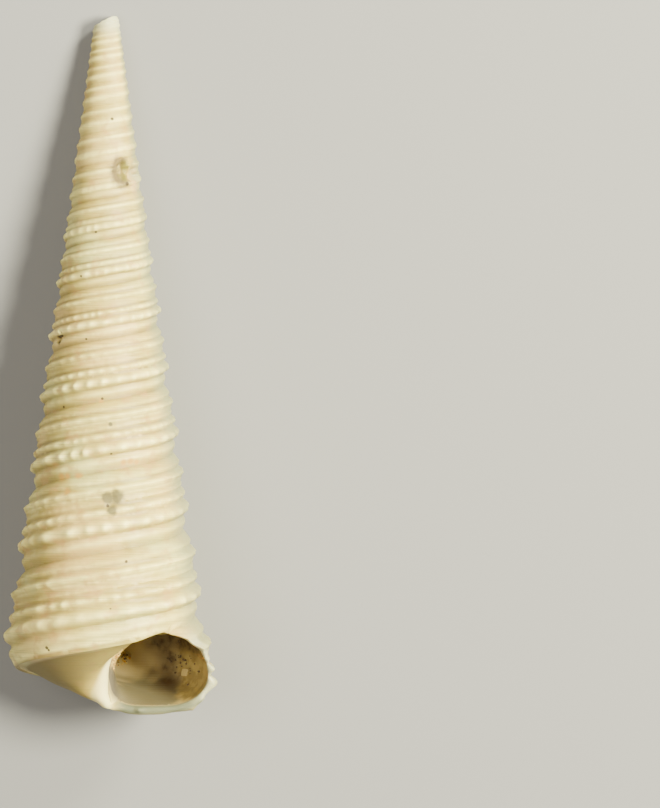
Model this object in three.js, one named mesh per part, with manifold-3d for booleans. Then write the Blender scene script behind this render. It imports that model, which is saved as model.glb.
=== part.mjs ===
// Turritella shell, a fossil: one hollow tower of about sixteen whorls that lies on its side.
// Millimetres, +Z up. The axis runs along Y, apex towards +Y, and the mouth looks up (+Z).
// The origin is on the surface that the shell lies on, under the middle of its box.
//
// The shell grows as a spiral that scales by one factor per whorl about a virtual apex. A place on it is
// given by "down", the distance from that apex along the axis, by a radius, and by "turn", the number of
// whorls back up the spire from the mouth: 0 at the mouth, 0.25 underneath, 0.5 on the left, 0.75 on top.
import * as THREE from "three";
import { mergeVertices } from "three/addons/utils/BufferGeometryUtils.js";
import Module from "manifold-3d";

// Driving dimensions
const whorlGrowth = 1.152; // each whorl is this much larger than the one before it
const mainCordAtMouth = 48.44; // how far down the main cord ends at the mouth
const coneStart = 0.105; // radius of the bare cone at the apex
const coneSlope = 0.1301; // gain in radius per millimetre down
const coneFlare = 0.00017; // and its slow increase
const turnsBuilt = 17.5; // whorls made before the tip is broken off
const columns = 32; // facets in one whorl

// Spiral sculpture of one whorl, from one suture (at 0.3) past the main cord (at 1) to the next suture.
// "at" is in whorls along the shell, "rise" is a share of the radius, and "lastTurn" is how many whorls up
// the spire the feature can still be made out.
const suture = 0.3;
const sutureRise = -0.06;
const bandAt = 1.2;
const sculpture = [
  { at: 0.42, rise: 0.0, lastTurn: 6 }, // thread below the suture
  { at: 0.55, rise: 0.045, lastTurn: turnsBuilt }, // upper cord
  { at: 0.7, rise: -0.01, lastTurn: 10 }, // wide trough
  { at: 0.83, rise: 0.024, lastTurn: 6 }, // middle cord
  { at: 0.9, rise: 0.009, lastTurn: 6 }, // narrow dip
  { at: 1.0, rise: 0.044, lastTurn: turnsBuilt }, // main cord
  { at: 1.1, rise: -0.036, lastTurn: 6 }, // step below the main cord
  { at: bandAt, rise: -0.052, lastTurn: 10 }, // smooth band
];
const smoothDown = 6; // the sculpture is worn away above here
const crispDown = 22; // and full height from here down
const wornShare = 0.12; // what is left of it on the first whorls

// Last whorl, mouth and base. "towardsTip" is a share of the way down to the end of the columella.
const edgeDrop = 0.11; // how much further in the free edge of the base lies than a suture
const bandDrop = 0.035; // the same for the band above that edge
const freeFrom = 0.8; // turns back from the mouth where the next whorl starts to cover the edge
const lipLift = 0.6; // the mouth's lower edge is drawn up towards the spire
const liftTurn = 0.5;
const lipFlare = 0.045; // the mouth's outer lip stands out by this share of the radius
const flareTurn = 0.15;
const flareSpan = 0.75; // down to just below the main cord, in whorls along the shell
const tipDown = 49.85; // end of the columella
const baseRows = [
  { reach: 0.94, swell: 0.16, towardsTip: 0 }, // rounded edge
  { reach: 0.66, swell: 0.5, towardsTip: 0.03 }, // middle of the base
];
const thinFrom = 0.5; // from here on to the mouth the columella is hollowed out, down to the "mouth" values
const columellaRows = [
  { radius: 2.1, mouthRadius: 1.5, swell: 0.45, towardsTip: 0.2, mouthTowardsTip: 0.08 }, // where it spreads
  { radius: 1.25, mouthRadius: 0.5, swell: 0.35, towardsTip: 0.4, mouthTowardsTip: 0.18 },
  { radius: 0.86, mouthRadius: 0.16, swell: 0.2, towardsTip: 0.66, mouthTowardsTip: 0.34 }, // pillar
  { radius: 0.64, mouthRadius: 0.1, swell: 0.05, towardsTip: 0.92, mouthTowardsTip: 0.92 }, // rounded end
];

// Hollow of the last whorl
const mouth = { inner: 0.06, outer: 6.42, top: 44.95, bottom: 49.7 };
const hollow = { inner: 0.6, outer: 6.15, settleTurn: 0.15 };
const hollowPoints = 18;
const hollowSquareness = 2.5; // 2 is an ellipse, more is squarer
const hollowTurns = 0.86;
const mouthOverrun = 0.012; // the hollow starts just in front of the mouth, so that it opens it

// Breaks and wear
const tipBreak = { down: 5.15, slant: 0.42 };
const pit = { down: 15.0, turn: 0.86, radius: 0.95, depth: 0.42 };
const lieTilt = THREE.MathUtils.degToRad(8.2); // slope of the axis, base end up
const wear = 0.13; // depth of the flat spots that it lies on
const farAway = 100;

const wasm = await Module();
wasm.setup();

// Geometry to solid, with its shared vertices merged.
function toSolid(geometry) {
  geometry.deleteAttribute("normal");
  geometry.deleteAttribute("uv");
  const merged = mergeVertices(geometry, 1e-5);
  return new wasm.Manifold(
    new wasm.Mesh({
      numProp: 3,
      vertProperties: new Float32Array(merged.attributes.position.array),
      triVerts: new Uint32Array(merged.index.array),
    }),
  );
}

// Solid back to geometry.
function toGeometry(solid) {
  const mesh = solid.getMesh();
  const geometry = new THREE.BufferGeometry();
  geometry.setAttribute("position", new THREE.BufferAttribute(mesh.vertProperties, 3));
  geometry.setIndex(new THREE.BufferAttribute(mesh.triVerts, 1));
  return geometry;
}

// A place on the shell in its own frame, with the axis along Y and the mouth facing +Z.
function place(radius, down, turn) {
  const angle = 2 * Math.PI * turn;
  return [radius * Math.cos(angle), -down, -radius * Math.sin(angle)];
}

function coneRadius(down) {
  return coneStart + coneSlope * down + coneFlare * down * down;
}

// Share of the full sculpture that a whorl this far down shows.
function crispness(down) {
  return wornShare + (1 - wornShare) * THREE.MathUtils.smoothstep(down, smoothDown, crispDown);
}

// 1 at the mouth, falling to 0 this many turns back from it.
function nearMouth(turn, reach) {
  return turn < reach ? (1 - turn / reach) ** 2 : 0;
}

// How free the lower edge of the whorl is: 1 on the base, 0 where the next whorl covers it.
function edgeFree(turn) {
  return 1 - THREE.MathUtils.smoothstep(turn, freeFrom, 1);
}

// Outer wall at one place in a whorl.
function wallPoint(turn, at, rise) {
  const share = (at - suture) ** 3;
  const down = mainCordAtMouth * whorlGrowth ** (at - 1 - turn) - lipLift * share * nearMouth(turn, liftTurn);
  const swing = Math.max(0, Math.sin((Math.PI * (at - suture)) / flareSpan));
  const bulge = lipFlare * swing * nearMouth(turn, flareTurn);
  const free = edgeFree(turn) * (edgeDrop * (at >= 1 + suture) + bandDrop * (at === bandAt));
  const radius = coneRadius(down) * (1 + rise * crispness(down) + bulge - free);
  return { radius, down };
}

// Points of the base between the free edge and the columella's end, on one radial line.
function basePoints(turn) {
  const { lerp } = THREE.MathUtils;
  const edge = wallPoint(turn, 1 + suture, sutureRise);
  const onBase = baseRows.map(({ reach, swell, towardsTip }) => ({
    radius: edge.radius * reach,
    down: lerp(edge.down + swell, tipDown, towardsTip),
  }));
  const thin = THREE.MathUtils.smoothstep(turn, thinFrom, 1);
  const onColumella = columellaRows.map(({ radius, mouthRadius, swell, towardsTip, mouthTowardsTip }) => ({
    radius: lerp(radius, mouthRadius, thin),
    down: lerp(edge.down + swell, tipDown, lerp(towardsTip, mouthTowardsTip, thin)),
  }));
  return [...onBase, ...onColumella];
}

// The whole outside as one closed surface. A ribbon one whorl wide winds up the spire: its lower edge is
// the upper edge of the coil before. Below it come the base, the columella and the flat plane of the mouth.
function outsideGeometry() {
  const positions = [];
  const faces = [];
  const addPoint = (radius, down, turn) => {
    positions.push(...place(radius, down, turn));
    return positions.length / 3 - 1;
  };
  const total = Math.round(turnsBuilt * columns);
  const ribbon = [];
  for (let i = 0; i <= total; i++) {
    const turn = i / columns;
    const add = ({ at, rise }) => {
      const { radius, down } = wallPoint(turn, at, rise);
      return { at, index: addPoint(radius, down, turn), radius, down };
    };
    const top = add({ at: suture, rise: sutureRise });
    const between = sculpture.filter(({ lastTurn }) => turn <= lastTurn).map(add);
    const bottom =
      i < columns
        ? add({ at: 1 + suture, rise: sutureRise })
        : { ...ribbon[i - columns][0], at: 1 + suture };
    ribbon.push([top, ...between, bottom]);
  }

  // Faces between two neighbouring lines, also where one has more points than the other.
  const joinLines = (a, b) => {
    let i = 0;
    let j = 0;
    while (i < a.length - 1 || j < b.length - 1) {
      const stepA = j === b.length - 1 || (i < a.length - 1 && a[i + 1].at <= b[j + 1].at);
      if (stepA) {
        faces.push(a[i].index, a[i + 1].index, b[j].index);
        i++;
      } else {
        faces.push(a[i].index, b[j + 1].index, b[j].index);
        j++;
      }
    }
  };
  for (let i = 0; i < total; i++) joinLines(ribbon[i], ribbon[i + 1]);

  // Closed above by a fan, which the broken tip cuts away.
  const apex = addPoint(0, 0, 0);
  const last = ribbon[total];
  for (let i = total - columns; i < total; i++) {
    faces.push(ribbon[i][0].index, ribbon[i + 1][0].index, apex);
  }
  for (let k = 0; k < last.length - 1; k++) faces.push(last[k].index, last[k + 1].index, apex);

  // Base and columella, one whorl round from the mouth.
  const tip = addPoint(0, tipDown, 0);
  const base = [];
  for (let i = 0; i <= columns; i++) {
    const turn = i / columns;
    const edge = ribbon[i][ribbon[i].length - 1];
    const inner = basePoints(turn).map(({ radius, down }, k) => ({
      at: k + 1,
      index: addPoint(radius, down, turn),
      radius,
      down,
    }));
    base.push([{ ...edge, at: 0 }, ...inner, { at: inner.length + 1, index: tip, radius: 0, down: tipDown }]);
  }
  for (let i = 0; i < columns; i++) {
    for (let k = 0; k < base[i].length - 1; k++) {
      const [a, b, c, d] = [base[i][k], base[i][k + 1], base[i + 1][k + 1], base[i + 1][k]];
      faces.push(a.index, b.index, d.index);
      if (b.index !== c.index) faces.push(b.index, c.index, d.index);
    }
  }

  // The mouth's plane: down the outer lip, in along the base, and back up the columella to the suture.
  const outline = [...ribbon[0], ...base[0].slice(1), ...base[columns].slice(1, -1).reverse()];
  const flat = outline.map(({ radius, down }) => new THREE.Vector2(radius, -down));
  for (const [a, b, c] of THREE.ShapeUtils.triangulateShape(flat, [])) {
    faces.push(outline[a].index, outline[b].index, outline[c].index);
  }

  const geometry = new THREE.BufferGeometry();
  geometry.setAttribute("position", new THREE.Float32BufferAttribute(positions, 3));
  geometry.setIndex(faces);
  return geometry;
}

// The hollow of the last whorl: a squarish oval that winds back from the mouth and shrinks as it goes.
function hollowGeometry() {
  const positions = [];
  const faces = [];
  const first = -mouthOverrun;
  const steps = Math.round(hollowTurns * columns);
  for (let i = 0; i <= steps; i++) {
    const turn = i === 0 ? first : i / columns;
    const scale = whorlGrowth ** -turn;
    const settled = THREE.MathUtils.smoothstep(turn, 0, hollow.settleTurn);
    const inner = THREE.MathUtils.lerp(mouth.inner, hollow.inner, settled);
    const outer = THREE.MathUtils.lerp(mouth.outer, hollow.outer * scale, settled);
    const middle = (scale * (mouth.top + mouth.bottom)) / 2;
    const halfHeight = (scale * (mouth.bottom - mouth.top)) / 2;
    for (let k = 0; k < hollowPoints; k++) {
      const angle = (2 * Math.PI * k) / hollowPoints;
      const [c, s] = [Math.cos(angle), Math.sin(angle)];
      const across = Math.sign(c) * Math.abs(c) ** (2 / hollowSquareness);
      const along = Math.sign(s) * Math.abs(s) ** (2 / hollowSquareness);
      const radius = (inner + outer) / 2 + ((outer - inner) / 2) * across;
      positions.push(...place(radius, middle + halfHeight * along, turn));
    }
  }
  const at = (i, k) => i * hollowPoints + (k % hollowPoints);
  for (let i = 0; i < steps; i++) {
    for (let k = 0; k < hollowPoints; k++) {
      faces.push(at(i, k), at(i, k + 1), at(i + 1, k));
      faces.push(at(i, k + 1), at(i + 1, k + 1), at(i + 1, k));
    }
  }
  for (let k = 1; k < hollowPoints - 1; k++) {
    faces.push(at(0, 0), at(0, k + 1), at(0, k));
    faces.push(at(steps, 0), at(steps, k), at(steps, k + 1));
  }
  const geometry = new THREE.BufferGeometry();
  geometry.setAttribute("position", new THREE.Float32BufferAttribute(positions, 3));
  geometry.setIndex(faces);
  return geometry;
}

// What the slanting break took off the tip.
function brokenTipGeometry() {
  const side = farAway;
  return new THREE.BoxGeometry(side, side, side)
    .translate(0, side / 2, 0)
    .rotateZ(Math.atan(tipBreak.slant))
    .translate(0, -tipBreak.down, 0);
}

// A scoop out of the upper whorls.
function pitGeometry() {
  const centre = place(coneRadius(pit.down) + pit.radius - pit.depth, pit.down, pit.turn);
  return new THREE.SphereGeometry(pit.radius, 14, 10).translate(...centre);
}

// Everything under the surface that the shell lies on.
function groundGeometry() {
  return new THREE.BoxGeometry(farAway, farAway, farAway).translate(0, 0, -farAway / 2);
}

function shellGeometry() {
  const whole = toSolid(outsideGeometry())
    .subtract(toSolid(hollowGeometry()))
    .subtract(toSolid(brokenTipGeometry()))
    .subtract(toSolid(pitGeometry()));
  const lying = toGeometry(whole).rotateX(-lieTilt);
  lying.computeBoundingBox();
  lying.translate(0, 0, -lying.boundingBox.min.z - wear);
  const worn = toGeometry(toSolid(lying).subtract(toSolid(groundGeometry())));
  worn.computeBoundingBox();
  const middle = worn.boundingBox.getCenter(new THREE.Vector3());
  return worn.translate(-middle.x, -middle.y, 0);
}

const shellMaterial = new THREE.MeshStandardMaterial({
  color: 0xe2d6b3,
  roughness: 0.55,
  metalness: 0,
  flatShading: true,
});

const shell = new THREE.Mesh(shellGeometry(), shellMaterial);
shell.name = "shell";

const fossil = new THREE.Group();
fossil.add(shell);

export default fossil;
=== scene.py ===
import math

import bpy
import numpy as np
from mathutils import Matrix, Vector
from mathutils.bvhtree import BVHTree


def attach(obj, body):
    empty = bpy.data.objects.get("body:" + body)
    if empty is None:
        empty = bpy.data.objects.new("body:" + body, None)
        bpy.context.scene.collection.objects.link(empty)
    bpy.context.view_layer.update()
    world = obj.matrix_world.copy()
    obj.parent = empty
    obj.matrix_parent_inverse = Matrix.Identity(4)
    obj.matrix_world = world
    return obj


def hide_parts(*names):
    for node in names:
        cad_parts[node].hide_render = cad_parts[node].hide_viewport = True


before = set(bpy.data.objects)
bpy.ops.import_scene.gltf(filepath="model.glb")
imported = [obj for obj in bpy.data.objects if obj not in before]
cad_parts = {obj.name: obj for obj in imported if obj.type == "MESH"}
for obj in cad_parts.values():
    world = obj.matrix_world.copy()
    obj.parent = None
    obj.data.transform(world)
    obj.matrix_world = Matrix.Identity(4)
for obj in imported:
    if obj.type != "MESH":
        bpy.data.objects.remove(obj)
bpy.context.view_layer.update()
print("frame loaded")

mm = 0.001

# Lengths are in mm from the virtual apex of the spire: "down" runs along the axis towards the mouth,
# "turn" counts whorls back up from the mouth, and "at" is a place across one whorl, from suture to suture.
spiral = {
    "growth": 1.152,  # size of a whorl against the one above it
    "mainCordDown": 48.44,  # where the main cord ends at the mouth
    # how far the whorls run ahead of even growth, in whorls, counted from where the main cord ends
    "drift": [(-18, -0.42), (-13, -0.38), (-10.9, -0.28), (-9.35, -0.19), (-8.05, -0.09), (-6.95, -0.035),
              (-6, 0.0), (-4.4, 0.018), (-3.6, 0.03), (-2, 0.032), (-1.4, 0.028), (-1, 0.02), (-0.7, 0.0),
              (1.4, 0.0)],
    "coneStart": 0.105,
    "coneSlope": 0.1301,
    "coneFlare": 0.00017,
    "suture": 0.3,  # a whorl runs from here to one further on
    "turns": 17.5,
    "columns": 384,  # steps round one whorl
    "rows": 44,  # steps across one whorl
    "lift": 0.6,  # the mouth's lower edge is drawn up by this much
    "liftTurn": 0.5,
    "flare": 0.045,  # the outer lip stands out, as a share of the radius
    "flareTurn": 0.15,
    "flareSpan": 0.75,
    "lieTilt": math.radians(8.2),
    "apex": (-0.268, 27.339, -0.021),  # the virtual apex in the frame of the finished part
}

# The last whorl's lower edge is free: it draws in and hangs lower than where the next whorl covers it.
edge = {
    "start": 1.1,  # from here across the whorl
    "span": 0.2,
    "coveredFrom": 0.8,
    "drawIn": [(0, 0.09), (0.35, 0.03), (18, 0.03)],  # as a share of the radius
    "moreAtMouth": 0.4,
    "moreReach": 0.25,
    "bend": (3, 0.7),  # late further round, early at the mouth
    "bendReach": 0.35,
    "low": [(0, 0.0), (0.25, 0.06), (0.45, 0.06), (0.58, 0.16), (0.75, 0.28), (0.84, 0.27), (1.0, 0.0),
            (18, 0.0)],
}

# Form of the wall between the cords, in shares of the radius.
wallFloor = {
    "points": [(0.3, -0.074), (0.325, -0.052), (0.36, -0.030), (0.41, -0.014), (0.465, -0.018),
               (0.50, -0.008), (0.53, 0.0), (0.6, -0.008), (0.7, -0.015), (0.755, -0.022), (0.82, -0.008),
               (0.895, -0.016), (0.95, -0.004), (1.0, -0.003), (1.045, -0.012), (1.09, -0.037),
               (1.12, -0.045), (1.18, -0.046), (1.225, -0.053), (1.265, -0.062), (1.3, -0.074)],
    "strength": [(5, 0.6), (12, 0.8), (20, 0.95), (30, 1.0), (51, 1.0)],  # by down
}

# Spiral cords: height, half widths above and below, beads per whorl, and how the height fades up the spire.
cords = {
    "thread": {"at": 0.42, "rise": 0.018, "above": 0.032, "below": 0.032, "shape": 2.6, "beads": 44,
               "beadShare": 0.2, "strength": [(14, 0.0), (24, 0.8), (38, 1.0), (51, 1.0)]},
    "upper": {"at": 0.548, "rise": 0.050, "above": 0.034, "below": 0.046, "shape": 2.4, "beads": 30,
              "beadShare": 0.22,
              "strength": [(6, 0.7), (13, 0.85), (18, 0.85), (27, 0.9), (38, 1.0), (51, 1.0)]},
    "underUpper": {"at": 0.622, "rise": 0.018, "above": 0.014, "below": 0.018, "shape": 2.0, "beads": 48,
                   "beadShare": 0.2, "strength": [(20, 0.0), (32, 1.0), (51, 1.0)]},
    "hair": {"at": 0.700, "rise": 0.014, "above": 0.014, "below": 0.016, "shape": 2.0, "beads": 52,
             "beadShare": 0.3, "strength": [(20, 0.0), (32, 1.0), (51, 1.0)]},
    "middle": {"at": 0.822, "rise": 0.036, "above": 0.034, "below": 0.038, "shape": 2.6, "beads": 36,
               "beadShare": 0.42, "strength": [(9, 0.0), (15, 0.2), (21, 0.9), (27, 1.1), (51, 1.0)]},
    "main": {"at": 1.006, "rise": 0.054, "above": 0.062, "below": 0.058, "shape": 3.0, "beads": 26,
             "beadShare": 0.46,
             "strength": [(6, 0.8), (13, 0.9), (18, 0.95), (23, 1.15), (31, 1.15), (38, 1.0), (51, 1.0)]},
    "band": {"at": 1.18, "rise": 0.02, "above": 0.04, "below": 0.042, "shape": 3.4, "beads": 30,
             "beadShare": 0.15, "strength": [(8, 0.2), (20, 0.8), (32, 1.0), (51, 1.0)]},
}
worn = [(5, 2.2), (12, 2.0), (18, 1.4), (25, 1.0), (51, 1.0)]  # the cords are broad and soft up the spire
cordWander = {"swing": 0.004, "pace": 1.3}
beads = {
    "uneven": 0.2,  # how far one strays from its place, as a share of the spacing
    "width": 0.25,
    "sizes": 0.2,
    "merged": 0.5,  # how much they run together
    "mergedBias": 0.3,
    "mergedPace": 2.2,
    "mergedHeight": 0.55,
    "peak": 1.35,
    "wornAbove": (10, 24),
    "wornLow": (41, 46),
    "wornLowShare": 0.55,
}
# Growth lines run across the whorls and striae along them. Heights are shares of the radius.
fineLines = {
    "growth": {"height": 0.0009, "pace": 26, "bend": 0.05, "seed": 90, "waves": 30},
    "striae": {"height": 0.0017, "lines": ((17, 1), (21, 4))},
    "sutureFade": 8,
    "wornAbove": (8, 26),
}


def smooth(x, low, high):
    t = np.clip((x - low) / (high - low), 0, 1)
    return t * t * (3 - 2 * t)


def blend(a, b, share):
    return a + (b - a) * share


def curveThrough(points, x):  # a smooth curve through the points that doesn't swing past them
    px, py = np.array(points, float).T
    step = np.diff(px)
    slope = np.diff(py) / step
    product = slope[1:] * slope[:-1]
    total = np.where(np.abs(slope[1:] + slope[:-1]) > 1e-12, slope[1:] + slope[:-1], 1)
    tangent = np.concatenate([[0], np.where(product > 0, 2 * product / total, 0), [0]])
    k = np.clip(np.searchsorted(px, x, side="right") - 1, 0, len(step) - 1)
    t = np.clip((x - px[k]) / step[k], 0, 1)
    ahead = t * t * (3 - 2 * t)
    bends = t * (1 - t) ** 2 * tangent[k] - t * t * (1 - t) * tangent[k + 1]
    return py[k] * (1 - ahead) + py[k + 1] * ahead + step[k] * bends


def lumps(points, size, seed, waves=26):  # soft random swell in space, about -1 to 1
    random = np.random.default_rng(seed)
    total = np.zeros(len(points))
    for _ in range(waves):
        direction = random.normal(size=3)
        direction *= 2 * math.pi / (np.linalg.norm(direction) * size * random.uniform(0.6, 1.7))
        total += np.sin(points @ direction + random.uniform(0, 2 * math.pi))
    return total / math.sqrt(waves)


def wander(x, pace, seed, waves=14):  # the same along one line, "pace" swings per unit
    random = np.random.default_rng(seed)
    total = np.zeros_like(x)
    for _ in range(waves):
        total += np.sin(2 * math.pi * x * pace * random.uniform(0.5, 1.7) + random.uniform(0, 2 * math.pi))
    return total / math.sqrt(waves)


def coneRadius(down):
    return spiral["coneStart"] + spiral["coneSlope"] * down + spiral["coneFlare"] * down * down


def downAt(whorls):
    return spiral["mainCordDown"] * spiral["growth"] ** (whorls + curveThrough(spiral["drift"], whorls))


def whorlsAt(down):  # the inverse
    even = np.log(down / spiral["mainCordDown"]) / math.log(spiral["growth"])
    whorls = even
    for _ in range(4):
        whorls = even - curveThrough(spiral["drift"], whorls)
    return whorls


def nearMouth(turn, reach):
    return np.clip(1 - turn / reach, 0, 1) ** 2


def beadWave(turn, count, seed):  # 1 on a bead, 0 between two, with stretches where they run together
    where = count * turn + beads["uneven"] * wander(turn, count / 6, seed)
    gap = (where % 1 - 0.5) / beads["width"]
    size = 1 + beads["sizes"] * wander(np.floor(where) / count, count / 3, seed + 1)
    together = np.clip(beads["mergedBias"] + wander(turn, beads["mergedPace"], seed + 2), 0, 1)
    merged = beads["merged"] * together
    return np.exp(-gap * gap) * size * (1 - merged) + beads["mergedHeight"] * merged


def beadFade(down):  # worn away up the spire, and low on the last whorl
    return smooth(down, *beads["wornAbove"]) * (1 - beads["wornLowShare"] * smooth(down, *beads["wornLow"]))


def wallRelief(turn, at, down):  # height of the sculpture, as a share of the radius
    relief = curveThrough(wallFloor["points"], at) * curveThrough(wallFloor["strength"], down)
    for seed, cord in enumerate(cords.values()):
        away = at - cord["at"] - cordWander["swing"] * wander(turn, cordWander["pace"], seed + 40)
        width = np.where(away < 0, cord["above"], cord["below"]) * curveThrough(worn, down)
        form = np.exp(-np.abs(away / width) ** cord["shape"])
        share = cord["beadShare"] * beadFade(down)
        bead = 1 - share + share * beads["peak"] * beadWave(turn, cord["beads"], seed * 7)
        relief = relief + cord["rise"] * curveThrough(cord["strength"], down) * form * bead
    fromSuture = at - spiral["suture"]
    inWhorl = np.clip(fromSuture * (spiral["suture"] + 1 - at) * fineLines["sutureFade"], 0, 1)
    lines = fineLines["growth"]
    bent = turn + lines["bend"] * np.sin(math.pi * fromSuture)
    growth = wander(bent, lines["pace"], lines["seed"], lines["waves"]) * lines["height"]
    striae = sum(np.sin(2 * math.pi * count * at + shift) for count, shift in fineLines["striae"]["lines"])
    striae = striae * fineLines["striae"]["height"]
    return relief + inWhorl * (growth + striae) * smooth(down, *fineLines["wornAbove"])


# The outer lip slants: its upper part runs forward, in front of the mouth's plane, to meet the whorl above.
lipSlant = {
    "woundOn": [(40.5, 0.0), (42.2, 0.06), (43.9, 0.12), (44.9, 0.084), (45.9, 0.052), (47.2, 0.018),
                (48.6, 0.0)],  # turns, by down
    "turnWidth": 0.19,
    "reach": (1.5, 4.5),
}


def slantStep(turn, down, radius):
    fromMouth = (turn + 0.5) % 1 - 0.5
    step = curveThrough(lipSlant["woundOn"], down) * np.exp(-(fromMouth / lipSlant["turnWidth"]) ** 2)
    return step * smooth(radius, *lipSlant["reach"])


def wallPlace(turn, at):  # radius, down and turn of the outer wall
    s = spiral
    fromSuture = at - s["suture"]
    down = downAt(at - 1 - turn)
    wound = turn - slantStep(turn, down, coneRadius(down))
    down = downAt(at - 1 - wound)
    down = down - s["lift"] * fromSuture ** 3 * nearMouth(turn, s["liftTurn"])
    swing = np.clip(np.sin(math.pi * fromSuture / s["flareSpan"]), 0, 1) * (fromSuture < s["flareSpan"])
    bulge = s["flare"] * swing * nearMouth(turn, s["flareTurn"])
    below = np.clip(at - edge["start"], 0, 1) / edge["span"]
    free = 1 - smooth(turn, edge["coveredFrom"], 1)
    free = free * (1 + edge["moreAtMouth"] * nearMouth(turn, edge["moreReach"]))
    down = down + curveThrough(edge["low"], turn) * below ** 2
    late, early = edge["bend"]
    bend = blend(below ** late, below ** early, nearMouth(turn, edge["bendReach"]))
    drawnIn = curveThrough(edge["drawIn"], turn) * bend * free
    radius = coneRadius(down) * (1 + wallRelief(wound, at, down) + bulge - drawnIn)
    return radius, down, wound


# Base of the last whorl, from its free edge in to the end of the columella. "swell" has its value at the
# mouth's lower lip and the one behind it. "radius" and "towards", the share of the way down to the tip, have
# one value from there to the left side and one at the mouth's inner lip.
base = {
    "tipDown": 49.84,
    "rows": 66,
    "swellTurn": 0.3,
    "thinFrom": 0.5,
    "thinTo": 0.94,
    "lean": -0.36,  # the columella stands this much to the left of the axis
    "leanReach": (0.8, 2.8),
    "leanDown": (45.8, 47.5, 48.7, 49.8),
    "lines": [
        {"reach": 0.985, "swell": (0.02, 0.0), "towards": (0.0, 0.0)},
        {"reach": 0.955, "swell": (0.03, -0.07), "towards": (0.0, 0.0)},
        {"reach": 0.90, "swell": (0.08, -0.11), "towards": (0.04, 0.0)},
        {"reach": 0.78, "swell": (0.15, -0.06), "towards": (0.15, 0.01)},
        {"reach": 0.60, "swell": (0.32, 0.0), "towards": (0.35, 0.02)},
        {"reach": 0.38, "swell": (0.36, 0.0), "towards": (0.55, 0.04)},
        {"radius": (1.25, 0.85), "swell": (0.28, 0.0), "towards": (0.71, 0.11)},
        {"radius": (0.85, 0.5), "swell": (0.16, 0.0), "towards": (0.78, 0.3)},
        {"radius": (0.6, 0.42), "swell": (0.12, 0.0), "towards": (0.83, 0.84)},
        {"radius": (0.38, 0.29), "swell": (0.09, 0.0), "towards": (0.92, 0.95)},
        {"radius": (0.19, 0.14), "swell": (0.03, 0.0), "towards": (0.98, 0.99)},
    ],
}


def basePlace(turn, share):  # the same on the base, share 0 at the edge and 1 on the axis
    edgeRadius, edgeDown, _ = wallPlace(turn, np.full_like(turn, spiral["suture"] + 1))
    thin = smooth(turn, base["thinFrom"], base["thinTo"])
    swollen = smooth(turn, 0, base["swellTurn"])
    radii = [edgeRadius]
    downs = [edgeDown]
    for line in base["lines"]:
        if "reach" in line:
            radii.append(edgeRadius * line["reach"])
        else:
            radii.append(blend(*line["radius"], thin))
        straight = blend(edgeDown, base["tipDown"], blend(*line["towards"], thin))
        downs.append(straight + blend(*line["swell"], swollen))
    radii.append(0 * turn)
    downs.append(base["tipDown"] + 0 * turn)
    radii = np.array(radii)
    downs = np.array(downs)
    place = share * (len(radii) - 1)
    radius, down = curveAcross(radii, place), curveAcross(downs, place)
    unwound = downAt(spiral["suture"] - turn) + down - edgeDown
    return radius, down, turn - slantStep(turn, unwound, radius)


def leanOver(places):  # the columella is set off the axis, and its ends run back to it
    reach = np.hypot(places[:, 0], places[:, 2])
    start, full, end, gone = base["leanDown"]
    down = -places[:, 1]
    lean = smooth(down, start, full) * (1 - smooth(down, end, gone))
    lean = lean * (1 - smooth(reach, *base["leanReach"]))
    places[:, 0] += base["lean"] * lean
    return places


def curveAcross(values, place):  # the same smooth curve for many lines at once, one value per whole step
    slope = np.diff(values, axis=0)
    product = slope[1:] * slope[:-1]
    total = slope[1:] + slope[:-1]
    safe = np.where(np.abs(total) > 1e-12, total, 1)
    flat = np.zeros((1, values.shape[1]))
    tangent = np.concatenate([slope[:1], np.where(product > 0, 2 * product / safe, 0), flat])
    k = np.clip(np.floor(place).astype(int), 0, len(slope) - 1)
    t = place - k
    line = np.arange(values.shape[1])
    ahead = t * t * (3 - 2 * t)
    bends = t * (1 - t) ** 2 * tangent[k, line] - t * t * (1 - t) * tangent[k + 1, line]
    return values[k, line] * (1 - ahead) + values[k + 1, line] * ahead + bends


def inShell(radius, down, turn):  # axis along Y, mouth facing +Z
    angle = 2 * math.pi * turn
    return np.stack([radius * np.cos(angle), -down, -radius * np.sin(angle)], axis=1)


def windLip(places):  # the same slant for the hollow
    x, y, z = places.T
    radius = np.hypot(x, z)
    step = slantStep(np.arctan2(-z, x) / (2 * math.pi), -y, radius)
    angle = 2 * math.pi * step
    turned = [x * np.cos(angle) - z * np.sin(angle), y, x * np.sin(angle) + z * np.cos(angle)]
    return np.stack(turned, 1) * (spiral["growth"] ** step)[:, None]


def inRow(places):  # lying down, in metres, with the crests that it rests on worn flat
    c, s = math.cos(spiral["lieTilt"]), math.sin(spiral["lieTilt"])
    x, y, z = places.T
    lying = np.stack([x, y * c + z * s, z * c - y * s], 1) + spiral["apex"]
    lying[:, 2] = np.maximum(lying[:, 2], 0)
    return lying * mm


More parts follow.
